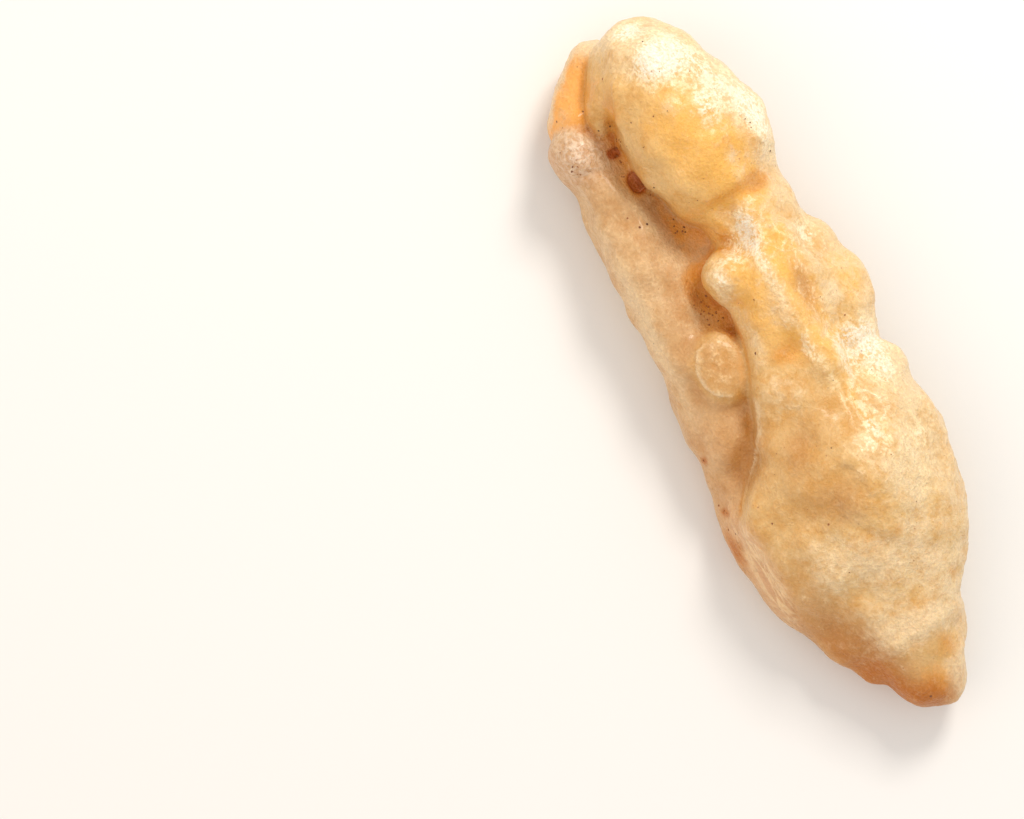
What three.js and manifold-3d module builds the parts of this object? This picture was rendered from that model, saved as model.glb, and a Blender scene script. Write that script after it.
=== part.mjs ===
// A fried salt cod fillet lying flat: a puffed batter crust over a long strip of fish, one solid.
// Millimetres. X runs from the blunt head to the pointed toe, Z is up, the shown side is the top.
import * as THREE from "three";
import { mergeVertices } from "three/addons/utils/BufferGeometryUtils.js";
import Module from "manifold-3d";

// Overall sizes
const FILLET_LENGTH = 149.5;
const FACET = 2.33;
const REACH = 34;
const FLOOR_DEPTH = 40;
const REST_LEVEL = -0.9;

// Low waves of the crust: height, spacing, how many, seed
const SWELLS = { height: 0.5, spacing: 17, count: 14, seed: 3 };
const DIMPLES = { height: 0.3, spacing: 8, count: 18, seed: 7 };

// Each lobe: centre, half sizes, turn about Z in degrees, and how softly it runs into the lobes before it.
const lobe = (name, at, half, turn = 0, blend = 0) => ({ name, at, half, turn, blend });

const CRUST = {
  spine: [[-61, 4, 14], [-45, 6, 15], [-30, 9, 13], [-10, 8, 13.5], [8, 6, 13.5], [25, 3, 13], [45, 0, 10], [62, 1, 7.5]],
  round: 54,
  capRows: 10,
  lobes: [
    lobe("head", [-51, 5.5, 15.5], [20, 12.8, 14.5], 3),
    lobe("head end", [-64, 3.2, 13.5], [10, 9.2, 12], 8, 5),
    lobe("head shoulder", [-45.2, 13.2, 14.5], [10.5, 8.2, 11], 2, 4),
    lobe("neck", [-31, 9.5, 12.5], [10, 9.0, 11], 0, 3.5),
    lobe("neck face", [-37.5, 2.2, 13.5], [8, 5.0, 9.5], 24, 3),
    lobe("head corner", [-36.4, 0.0, 13.0], [4.6, 3.8, 8.6], 18, 2),
    lobe("middle", [-14, 8.4, 14.0], [15, 10.0, 12.5], 0, 3),
    lobe("middle face", [-6.6, 3.2, 14.8], [13, 6.6, 11], -8, 2.5),
    lobe("crest", [-6, 8.6, 19.5], [24, 5.6, 7.6], -2, 4),
    lobe("drop", [-20.6, 0.8, 16.5], [5.9, 6.0, 8.0], 0, 2),
    lobe("right bump", [-8.6, 15.7, 11.5], [11, 9.2, 10], 0, 2.5),
    lobe("right bump start", [-17.8, 17.0, 10.5], [6, 6.0, 8], 0, 2),
    lobe("neck shoulder", [-25.0, 14.0, 10.5], [6, 5.2, 8], 0, 3),
    lobe("right bump end", [-0.5, 16.0, 9.5], [7, 6.6, 8], -10, 2.5),
    lobe("main", [25, 4.0, 13.5], [24, 17.2, 15.5], 0, 3),
    lobe("main start", [5.5, 0.8, 14.8], [12, 8.2, 11.5], 0, 3),
    lobe("lip", [14.6, -5.0, 16.0], [10.0, 4.4, 7], -38, 2.5),
    lobe("lip end", [22.3, -9.6, 14.5], [11, 6.2, 6], -42, 2.5),
    lobe("main shoulder", [21, 14.5, 12.5], [17, 10.6, 11], 0, 3),
    lobe("main first shoulder", [9.5, 16.0, 12.5], [6, 7.4, 8], 0, 2.5),
    lobe("main far shoulder", [37, 11.2, 11.5], [14, 11.6, 11], -12, 4),
    lobe("main lower edge", [26, -9.0, 11.0], [11, 10.0, 10.5], 0, 4),
    lobe("main belly", [35, -5.4, 10.5], [18, 13.5, 11.5], 0, 5),
    lobe("waist", [50, 2.5, 9.5], [16, 11.6, 10.5], -16, 5),
    lobe("toe", [62, 1.8, 7.5], [12.1, 8.6, 8.5], -14, 4),
    lobe("toe far edge", [59.5, 6.8, 6.5], [8, 5.2, 6], -18, 2),
    lobe("toe bump", [66.2, -3.8, 6.5], [5.2, 4.2, 6], 0, 3),
    lobe("toe flank", [54, -9.3, 6.0], [12.5, 6.2, 6.6], 36, 4),
    lobe("flank end", [60.8, -8.4, 5.5], [4.4, 3.4, 5], 0, 2),
    lobe("rim", [-63.6, -5.1, 12.4], [8.8, 4.0, 7.8], -30, 1.2),
  ],
};

const STRIP = {
  spine: [[-52, -12, 8], [-40, -10, 6], [-20, -8, 5], [10, -9, 5.5], [35, -12, 5.5], [50, -11, 5.5]],
  round: 30,
  capRows: 6,
  lobes: [
    lobe("nub", [-54.5, -14.8, 10.5], [6.0, 5.3, 6.5]),
    lobe("strip head", [-36, -13.0, 8.0], [24, 7.2, 9.0], 0, 3),
    lobe("strip middle", [-8, -13.0, 7.5], [26, 6.9, 8.8], 0, 6),
    lobe("strip under knob", [14, -13.6, 6.0], [22, 8.2, 7.4], -2, 6),
    lobe("strip belly", [32.5, -14.2, 6.0], [18, 8.6, 7.6], 0, 6),
    lobe("strip end", [47.5, -10.5, 5.5], [11.5, 7.8, 6.5], 20, 4),
    lobe("core", [-12, 0, 5.6], [52, 12, 7.4], 0, 4),
    lobe("flesh", [-49.0, -7.6, 7.0], [11.0, 5.6, 6.6], 0, 2.5),
    lobe("corner flesh", [-57.5, -9.2, 8.5], [5.0, 4.5, 5.5], 0, 2),
    lobe("bank", [-1, -7.0, 8.5], [13, 5.2, 6.5], 0, 3),
  ],
};

const KNOB = {
  spine: [[-8.5, -9.1, 15.2], [-1.5, -8.4, 15.2]],
  round: 22,
  capRows: 6,
  lobes: [lobe("knob", [-5.1, -9.6, 15.0], [7.5, 6.1, 5.0], -8)],
};

const FLAP = {
  spine: [[-70, -5.5, 7], [-62.5, -13, 6.5]],
  round: 26,
  capRows: 7,
  lobes: [
    lobe("flap", [-66.0, -9.2, 6.5], [10.6, 5.4, 7.0], -48),
    lobe("flap edge", [-71.4, -4.2, 8.5], [2.8, 4.2, 5.5], 0, 1.5),
    lobe("flap root", [-61.6, -11.4, 8.2], [4.6, 4.6, 7.0], 0, 2),
  ],
};

// Small pits in the flesh beside the head: centre and radii.
const PITS = [
  { at: [-45.2, -7.4, 13.8], half: [2.2, 1.7, 3.6] },
  { at: [-52.3, -8.8, 13.6], half: [0.9, 1.3, 1.8] },
];

const smoothJoin = (a, b, blend) => {
  if (blend <= 0) return Math.min(a, b);
  const share = Math.min(1, Math.max(0, 0.5 + (0.5 * (b - a)) / blend));
  return b + (a - b) * share - blend * share * (1 - share);
};

// Signed distance, near enough, from a point to one lobe.
const lobeDistance = (p, { at, half, turn }) => {
  const angle = THREE.MathUtils.degToRad(turn);
  const dx = p.x - at[0];
  const dy = p.y - at[1];
  const q = [
    dx * Math.cos(angle) + dy * Math.sin(angle),
    -dx * Math.sin(angle) + dy * Math.cos(angle),
    p.z - at[2],
  ];
  const once = Math.hypot(q[0] / half[0], q[1] / half[1], q[2] / half[2]);
  const twice = Math.hypot(q[0] / half[0] ** 2, q[1] / half[1] ** 2, q[2] / half[2] ** 2) + 1e-9;
  return (once * (once - 1)) / twice;
};

// A set of plane waves spread evenly over all directions.
const makeWaves = ({ height, spacing, count, seed }) => {
  const waves = [];
  for (let i = 0; i < count; i += 1) {
    const up = 1 - (2 * i + 1) / count;
    const side = Math.sqrt(1 - up * up);
    const turn = 2.39996 * i + seed;
    const length = spacing * (0.7 + 0.7 * ((0.618 * (i + seed)) % 1));
    const direction = new THREE.Vector3(side * Math.cos(turn), side * Math.sin(turn), up);
    waves.push({
      push: direction.multiplyScalar((2 * Math.PI) / length),
      phase: 2 * Math.PI * ((0.7548 * (i + 1) * (seed + 1)) % 1),
    });
  }
  const share = height / Math.sqrt(count);
  return (p) => share * waves.reduce((sum, { push, phase }) => sum + Math.sin(push.dot(p) + phase), 0);
};

const swells = makeWaves(SWELLS);
const dimples = makeWaves(DIMPLES);

const bodyDistance = (p, lobes) => {
  let distance = Infinity;
  for (const one of lobes) distance = smoothJoin(distance === Infinity ? 1e3 : distance, lobeDistance(p, one), one.blend);
  return distance + swells(p) + dimples(p);
};

// The point of a body's spine at a share between 0 and 1 of its length along X.
const spineAt = (spine, share) => {
  const first = spine[0][0];
  const last = spine[spine.length - 1][0];
  const x = first + share * (last - first);
  let k = 0;
  while (k < spine.length - 2 && x > spine[k + 1][0]) k += 1;
  const t = (x - spine[k][0]) / (spine[k + 1][0] - spine[k][0]);
  return new THREE.Vector3(...spine[k]).lerp(new THREE.Vector3(...spine[k + 1]), t);
};

// Draws a closed skin over a body: a capsule's corners are moved in to the body's surface.
const wrap = ({ spine, round, capRows, lobes }) => {
  const length = spine[spine.length - 1][0] - spine[0][0];
  const rows = Math.max(2, Math.round(length / FACET));
  const capsule = new THREE.CapsuleGeometry(1, length, capRows, round, rows);
  capsule.deleteAttribute("normal");
  capsule.deleteAttribute("uv");
  const skin = mergeVertices(capsule, 1e-4);
  const place = skin.getAttribute("position");
  const point = new THREE.Vector3();
  for (let i = 0; i < place.count; i += 1) {
    const along = place.getY(i);
    const held = Math.min(length / 2, Math.max(-length / 2, along));
    const foot = spineAt(spine, held / length + 0.5);
    const out = new THREE.Vector3(along - held, place.getX(i), -place.getZ(i)).normalize();
    let far = REACH;
    while (far > 0 && bodyDistance(point.copy(foot).addScaledVector(out, far), lobes) > 0) far -= 0.4;
    let low = Math.max(0, far);
    let high = low + 0.4;
    for (let step = 0; step < 18; step += 1) {
      const half = (low + high) / 2;
      if (bodyDistance(point.copy(foot).addScaledVector(out, half), lobes) > 0) high = half;
      else low = half;
    }
    point.copy(foot).addScaledVector(out, low);
    place.setXYZ(i, point.x, point.y, point.z);
  }
  return skin;
};

const wasm = await Module();
wasm.setup();

const toSolid = (geometry) => {
  const place = geometry.getAttribute("position");
  return new wasm.Manifold(
    new wasm.Mesh({
      numProp: 3,
      vertProperties: new Float32Array(place.array),
      triVerts: new Uint32Array(geometry.index.array),
    }),
  );
};

const toGeometry = (solid) => {
  const mesh = solid.getMesh();
  const geometry = new THREE.BufferGeometry();
  geometry.setAttribute("position", new THREE.BufferAttribute(new Float32Array(mesh.vertProperties), 3));
  geometry.setIndex(new THREE.BufferAttribute(new Uint32Array(mesh.triVerts), 1));
  return geometry;
};

const bare = (geometry) => {
  geometry.deleteAttribute("normal");
  geometry.deleteAttribute("uv");
  return mergeVertices(geometry, 1e-4);
};

const pit = ({ at, half }) => {
  const ball = new THREE.SphereGeometry(1, 10, 7);
  ball.scale(...half);
  ball.translate(...at);
  return toSolid(bare(ball));
};

// The bodies joined, the pits taken out and the underside cut flat where the fillet rests.
const makeFillet = () => {
  let solid = [CRUST, STRIP, KNOB, FLAP].map((body) => toSolid(wrap(body))).reduce((sum, next) => sum.add(next));
  for (const hole of PITS) solid = solid.subtract(pit(hole));
  const floor = new THREE.BoxGeometry(2 * FILLET_LENGTH, FILLET_LENGTH, FLOOR_DEPTH);
  floor.translate(0, 0, REST_LEVEL - FLOOR_DEPTH / 2);
  const geometry = toGeometry(solid.subtract(toSolid(bare(floor))));
  geometry.computeBoundingBox();
  const { min, max } = geometry.boundingBox;
  geometry.translate(-(min.x + max.x) / 2, -(min.y + max.y) / 2, -min.z);
  geometry.computeVertexNormals();
  return geometry;
};

const crustMaterial = new THREE.MeshStandardMaterial({ color: "#e3bd83", roughness: 0.55, metalness: 0 });
const fillet = new THREE.Mesh(makeFillet(), crustMaterial);
fillet.name = "fried_fillet";

const group = new THREE.Group();
group.name = "fried_salt_cod_fillet";
group.add(fillet);

export default group;
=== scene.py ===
"""A fried salt cod fillet: a puffed batter crust over a long strip of fish, lying shown side up."""

import logging
import math
from collections.abc import Mapping, Sequence
from dataclasses import dataclass, field, fields
from enum import Enum
from typing import Any

import bpy
import numpy as np
from mathutils import Matrix, Vector
from mathutils.bvhtree import BVHTree

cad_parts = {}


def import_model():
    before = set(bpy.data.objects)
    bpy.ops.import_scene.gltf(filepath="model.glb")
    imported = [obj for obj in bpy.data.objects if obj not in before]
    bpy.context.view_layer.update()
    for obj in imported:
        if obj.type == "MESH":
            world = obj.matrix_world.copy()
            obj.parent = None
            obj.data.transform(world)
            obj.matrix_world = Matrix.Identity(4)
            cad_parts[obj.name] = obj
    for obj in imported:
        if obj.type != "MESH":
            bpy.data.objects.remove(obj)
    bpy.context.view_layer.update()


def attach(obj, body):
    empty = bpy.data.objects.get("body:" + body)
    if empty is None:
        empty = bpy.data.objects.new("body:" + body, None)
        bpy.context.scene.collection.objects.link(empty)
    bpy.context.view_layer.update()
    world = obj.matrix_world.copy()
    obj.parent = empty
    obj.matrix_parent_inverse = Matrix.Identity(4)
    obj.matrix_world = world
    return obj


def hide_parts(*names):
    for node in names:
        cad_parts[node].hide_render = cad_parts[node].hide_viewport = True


LOG = logging.getLogger("fillet")
# A millimetre in metres, three steps that spread waves evenly, a quarter turn in radians,
# how fast a press fades towards its edge, and the width of the camera's sensor in millimetres.
MM = 0.001
GOLDEN_TURN = 2.39996
GOLDEN_SHARE = 0.618
SECOND_SHARE = 0.7548
QUARTER = math.pi / 2
PRESS_FADE = 1.2
SENSOR_WIDTH = 36.0
Array = np.ndarray
Spot = tuple[float, float]
Place = tuple[float, float, float]


class Mark(Enum):
    """Names of the attributes that tell the batter's finish where it is, and where shade and light are
    painted.
    """

    FROST = "frost"
    CREAM_AND_PAINTED_LIGHT = "cream_and_painted_light"
    AMBER = "amber"
    HONEY = "honey"
    TOAST_AND_SHADE = "toast_and_shade"
    ROSE = "rose"
    PAINTED_CREASE_SHADE = "painted_crease_shade"
    STRIP = "strip"
    NUB = "nub"
    TOE = "toe"
    FLAP = "flap"
    PIT = "pit"


def smooth(value: Array, low: float, high: float) -> Array:
    """Eases numbers from 0 at low to 1 at high."""
    share = np.clip((value - low) / (high - low), 0.0, 1.0)
    return share * share * (3.0 - 2.0 * share)


def soft_join(first: Array, second: Array, blend: float) -> Array:
    """Joins two distances with a rounded groove where they meet.

    Args:
        first: Distances to the first form.
        second: Distances to the second form.
        blend: How softly they run together, in millimetres.

    Returns:
        Distances to the joined form.
    """
    if blend <= 0:
        return np.minimum(first, second)
    share = np.clip(0.5 + 0.5 * (second - first) / blend, 0.0, 1.0)
    return second + (first - second) * share - blend * share * (1.0 - share)


def turned(dx: Array, dy: Array, degrees: float) -> tuple[Array, Array]:
    """Offsets as seen along an axis turned about Z.

    Args:
        dx: Offsets along X.
        dy: Offsets along Y.
        degrees: Turn of the axis from X.

    Returns:
        Offsets along and across the turned axis.
    """
    angle = math.radians(degrees)
    cos, sin = math.cos(angle), math.sin(angle)
    return dx * cos + dy * sin, dy * cos - dx * sin


@dataclass(frozen=True)
class Lobe:
    """A rounded swelling, in millimetres.

    Args:
        at: Centre.
        half: Half sizes along, across and up.
        turn: Turn about Z in degrees.
        blend: How softly it runs into the lobes before it.
    """

    at: Place
    half: Place
    turn: float = 0.0
    blend: float = 0.0

    def distance(self, points: Array) -> Array:
        """Signed distance, near enough, from points to the lobe.

        Args:
            points: An array of places.

        Returns:
            One distance a place, negative inside.
        """
        along, across = turned(points[:, 0] - self.at[0], points[:, 1] - self.at[1], self.turn)
        up = points[:, 2] - self.at[2]
        a, b, c = self.half
        once = np.sqrt((along / a) ** 2 + (across / b) ** 2 + (up / c) ** 2)
        twice = np.sqrt((along / a**2) ** 2 + (across / b**2) ** 2 + (up / c**2) ** 2) + 1e-9
        return once * (once - 1.0) / twice


@dataclass(frozen=True)
class Waves:
    """Low waves spread over all directions: height and spacing in millimetres, how many, and a seed."""

    height: float
    spacing: float
    count: int
    seed: int

    def lift(self, points: Array) -> Array:
        """Height of the waves at points.

        Args:
            points: An array of places.

        Returns:
            One height a place.
        """
        i = np.arange(self.count)
        up = 1.0 - (2.0 * i + 1.0) / self.count
        side = np.sqrt(1.0 - up * up)
        turn = GOLDEN_TURN * i + self.seed
        length = self.spacing * (0.7 + 0.7 * ((GOLDEN_SHARE * (i + self.seed)) % 1.0))
        push = np.stack([side * np.cos(turn), side * np.sin(turn), up]) * (2.0 * np.pi / length)
        phase = 2.0 * np.pi * ((SECOND_SHARE * (i + 1) * (self.seed + 1)) % 1.0)
        return np.sin(points @ push + phase).sum(axis=1) * (self.height / math.sqrt(self.count))


SWELLS = Waves(height=0.5, spacing=17, count=14, seed=3)
DIMPLES = Waves(height=0.3, spacing=8, count=18, seed=7)


@dataclass(frozen=True)
class Body:
    """One mass of batter or fish, made of lobes along a spine, in millimetres.

    Args:
        reach: How far from the spine the wrapping of its skin starts.
        crease: How softly it runs into the bodies before it.
        rounds: How often the skin is drawn nearer.
        stride: Share of the gap that one round closes.
    """

    name: str
    spine: tuple[Place, ...]
    lobes: tuple[Lobe, ...]
    reach: float = 34.0
    crease: float = 0.7
    rounds: int = 46
    stride: float = 0.62

    def distance(self, points: Array) -> Array:
        """Distance from points to the body, its low waves included.

        Args:
            points: An array of places.

        Returns:
            One distance a place.
        """
        near = np.full(len(points), 1000.0)
        for lobe in self.lobes:
            near = soft_join(near, lobe.distance(points), lobe.blend)
        return near + SWELLS.lift(points) + DIMPLES.lift(points)

    def skin(self, facet: float) -> tuple[Array, list[tuple[int, ...]]]:
        """Wraps a closed skin over the body, row by row along the spine.

        Args:
            facet: Wanted size of a face in millimetres.

        Returns:
            Corners, and faces as tuples of corner numbers.
        """
        spine = np.array(self.spine)
        length = spine[-1, 0] - spine[0, 0]
        rows = max(3, round(length / facet))
        widest = max(lobe.half[1] + lobe.half[2] for lobe in self.lobes)
        count = round(math.pi * widest / facet)
        cap = max(4, round(0.5 * math.pi * min(self.lobes[0].half) / facet))
        lean = [-QUARTER * (cap - i) / cap for i in range(1, cap)]
        stations = [(0.0, a) for a in lean] + [(i / rows, 0.0) for i in range(rows + 1)]
        stations += [(1.0, -a) for a in reversed(lean)]
        feet, out = [], []
        for share, angle in [(0.0, -QUARTER), *stations, (1.0, QUARTER)]:
            x = spine[0, 0] + share * length
            foot = [x, np.interp(x, spine[:, 0], spine[:, 1]), np.interp(x, spine[:, 0], spine[:, 2])]
            pole = abs(angle) == QUARTER
            around = np.arange(1 if pole else count) * (2.0 * math.pi / count)
            cos = 0.0 if pole else math.cos(angle)
            sin = np.full(len(around), math.sin(angle))
            out.append(np.stack([sin, cos * np.cos(around), cos * np.sin(around)], 1))
            feet.append(np.tile(foot, (len(around), 1)))
        foot, ray = np.concatenate(feet), np.concatenate(out)
        far = np.full(len(foot), self.reach)
        for _ in range(self.rounds):
            gap = self.distance(foot + ray * far[:, None])
            far = np.maximum(far - np.clip(gap * self.stride, -0.3, 3.0), 0.3)
        corners = foot + ray * far[:, None]
        faces: list[tuple[int, ...]] = []
        last = len(stations) - 1
        for j in range(count):
            k = (j + 1) % count
            faces.append((0, 1 + k, 1 + j))
            faces.append((len(corners) - 1, 1 + last * count + j, 1 + last * count + k))
            for i in range(last):
                a, b = 1 + i * count, 1 + (i + 1) * count
                faces.append((a + j, a + k, b + k, b + j))
        return corners, faces


CRUST = Body(
    name="crust",
    spine=(
        (-61, 4, 14), (-45, 6, 15), (-30, 9, 13), (-10, 8, 13.5), (8, 6, 13.5), (25, 3, 13), (45, 0, 10),
        (62, 1, 7.5),
    ),
    lobes=(
        Lobe((-51, 5.5, 15.5), (20, 12.8, 14.5), 3), Lobe((-64, 3.2, 13.5), (10, 9.2, 12), 8, 5),
        Lobe((-45.2, 13.2, 14.5), (10.5, 8.2, 11), 2, 4), Lobe((-31, 9.5, 12.5), (10, 9, 11), 0, 3.5),
        Lobe((-37.5, 2.2, 13.5), (8, 5, 9.5), 24, 3), Lobe((-36.4, 0, 13), (4.6, 3.8, 8.6), 18, 2),
        Lobe((-14, 8.4, 14), (15, 10, 12.5), 0, 3), Lobe((-6.6, 3.2, 14.8), (13, 6.6, 11), -8, 2.5),
        Lobe((-6, 8.6, 19.5), (24, 5.6, 7.6), -2, 4), Lobe((-20.6, 0.8, 16.5), (5.9, 6, 8), 0, 2),
        Lobe((-8.6, 15.7, 11.5), (11, 9.2, 10), 0, 2.5), Lobe((-17.8, 17, 10.5), (6, 6, 8), 0, 2),
        Lobe((-25, 14, 10.5), (6, 5.2, 8), 0, 3), Lobe((-0.5, 16, 9.5), (7, 6.6, 8), -10, 2.5),
        Lobe((25, 4, 13.5), (24, 17.2, 15.5), 0, 3), Lobe((5.5, 0.8, 14.8), (12, 8.2, 11.5), 0, 3),
        Lobe((14.6, -5, 16), (10, 4.4, 7), -38, 2.5), Lobe((22.3, -9.6, 14.5), (11, 6.2, 6), -42, 2.5),
        Lobe((21, 14.5, 12.5), (17, 10.6, 11), 0, 3), Lobe((9.5, 16, 12.5), (6, 7.4, 8), 0, 2.5),
        Lobe((37, 11.2, 11.5), (14, 11.6, 11), -12, 4), Lobe((26, -9, 11), (11, 10, 10.5), 0, 4),
        Lobe((35, -5.4, 10.5), (18, 13.5, 11.5), 0, 5), Lobe((50, 2.5, 9.5), (16, 11.6, 10.5), -16, 5),
        Lobe((62, 1.8, 7.5), (12.1, 8.6, 8.5), -14, 4), Lobe((59.5, 6.8, 6.5), (8, 5.2, 6), -18, 2),
        Lobe((66.2, -3.8, 6.5), (5.2, 4.2, 6), 0, 3), Lobe((54, -9.3, 6), (12.5, 6.2, 6.6), 36, 4),
        Lobe((60.8, -8.4, 5.5), (4.4, 3.4, 5), 0, 2), Lobe((-63.6, -5.1, 12.4), (8.8, 4, 7.8), -30, 1.2),
    ),
)

STRIP = Body(
    name="strip",
    spine=((-52, -12, 8), (-40, -10, 6), (-20, -8, 5), (10, -9, 5.5), (35, -12, 5.5), (50, -11, 5.5)),
    lobes=(
        Lobe((-54.5, -14.8, 10.5), (6, 5.3, 6.5)), Lobe((-36, -13, 8), (24, 7.2, 9), 0, 3),
        Lobe((-8, -13, 7.5), (26, 6.9, 8.8), 0, 6), Lobe((14, -13.6, 6), (22, 8.2, 7.4), -2, 6),
        Lobe((32.5, -14.2, 6), (18, 8.6, 7.6), 0, 6), Lobe((47.5, -10.5, 5.5), (11.5, 7.8, 6.5), 20, 4),
        Lobe((-12, 0, 5.6), (52, 12, 7.4), 0, 4), Lobe((-49, -7.6, 7), (11, 5.6, 6.6), 0, 2.5),
        Lobe((-57.5, -9.2, 8.5), (5, 4.5, 5.5), 0, 2), Lobe((-1, -7, 8.5), (13, 5.2, 6.5), 0, 3),
    ),
)

KNOB = Body(
    name="knob",
    spine=((-8.5, -9.1, 15.2), (-1.5, -8.4, 15.2)),
    lobes=(Lobe((-5.1, -9.6, 15), (7.5, 6.1, 5), -8),),
    crease=1.8,
)

FLAP = Body(
    name="flap",
    spine=((-70, -5.5, 7), (-62.5, -13, 6.5)),
    lobes=(
        Lobe((-66, -9.2, 6.5), (10.6, 5.4, 7), -48), Lobe((-71.4, -4.2, 8.5), (2.8, 4.2, 5.5), 0, 1.5),
        Lobe((-61.6, -11.4, 8.2), (4.6, 4.6, 7), 0, 2),
    ),
)


@dataclass(frozen=True)
class Press:
    """A soft dent or swelling of the shown side, or a patch of a finish on it, in millimetres.

    Args:
        at: Its middle.
        half: Half sizes along and across.
        lift: How far it lifts, or how strong the finish is.
        turn: Turn from X in degrees.
    """

    at: Spot
    half: Spot
    lift: float = 0.0
    turn: float = 0.0

    def cover(self, points: Array) -> Array:
        """How fully points are under the press, from 0 to 1."""
        along, across = turned(points[:, 0] - self.at[0], points[:, 1] - self.at[1], self.turn)
        return np.exp(-PRESS_FADE * ((along / self.half[0]) ** 2 + (across / self.half[1]) ** 2))


@dataclass(frozen=True)
class Fold:
    """A line on the shown side where the batter stands higher on one hand.

    Args:
        path: Places along the line.
        width: How wide the step is.
        fade: How far the lift carries on the raised hand.
        lift: Height of the step, raised on the left hand of the path.
    """

    path: tuple[Spot, ...]
    width: float
    fade: float
    lift: float

    def cover(self, points: Array) -> Array:
        """How fully points are lifted by the fold.

        Args:
            points: An array of places.

        Returns:
            Shares from 0 to 1.
        """
        best = np.full(len(points), 1e6)
        side = np.zeros(len(points))
        ends = np.zeros(len(points))
        total = len(self.path) - 1
        for i, (a, b) in enumerate(zip(self.path, self.path[1:])):
            run = np.array([b[0] - a[0], b[1] - a[1]])
            length = float(np.hypot(*run))
            dx, dy = points[:, 0] - a[0], points[:, 1] - a[1]
            raw = (dx * run[0] + dy * run[1]) / length**2
            share = np.clip(raw, 0.0, 1.0)
            gap = np.hypot(dx - share * run[0], dy - share * run[1])
            left = (run[0] * dy - run[1] * dx) / length
            nearer = gap < best
            best = np.where(nearer, gap, best)
            side = np.where(nearer, np.sign(left) * gap, side)
            ends = np.where(nearer, (i + share) / total, ends)
        taper = smooth(ends, 0.0, 0.2) * (1.0 - smooth(ends, 0.8, 1.0))
        return smooth(side, -self.width, self.width) * np.exp(-np.maximum(side, 0.0) / self.fade) * taper


KNOB_EDGE: tuple[Spot, ...] = (
    (-2, -4.6), (-7, -4.4), (-10.6, -5.8), (-11.8, -8.6), (-10.4, -12.2), (-7, -14.3), (-3.4, -14.1),
    (-0.4, -12.5), (1.2, -9.2),
)


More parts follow.
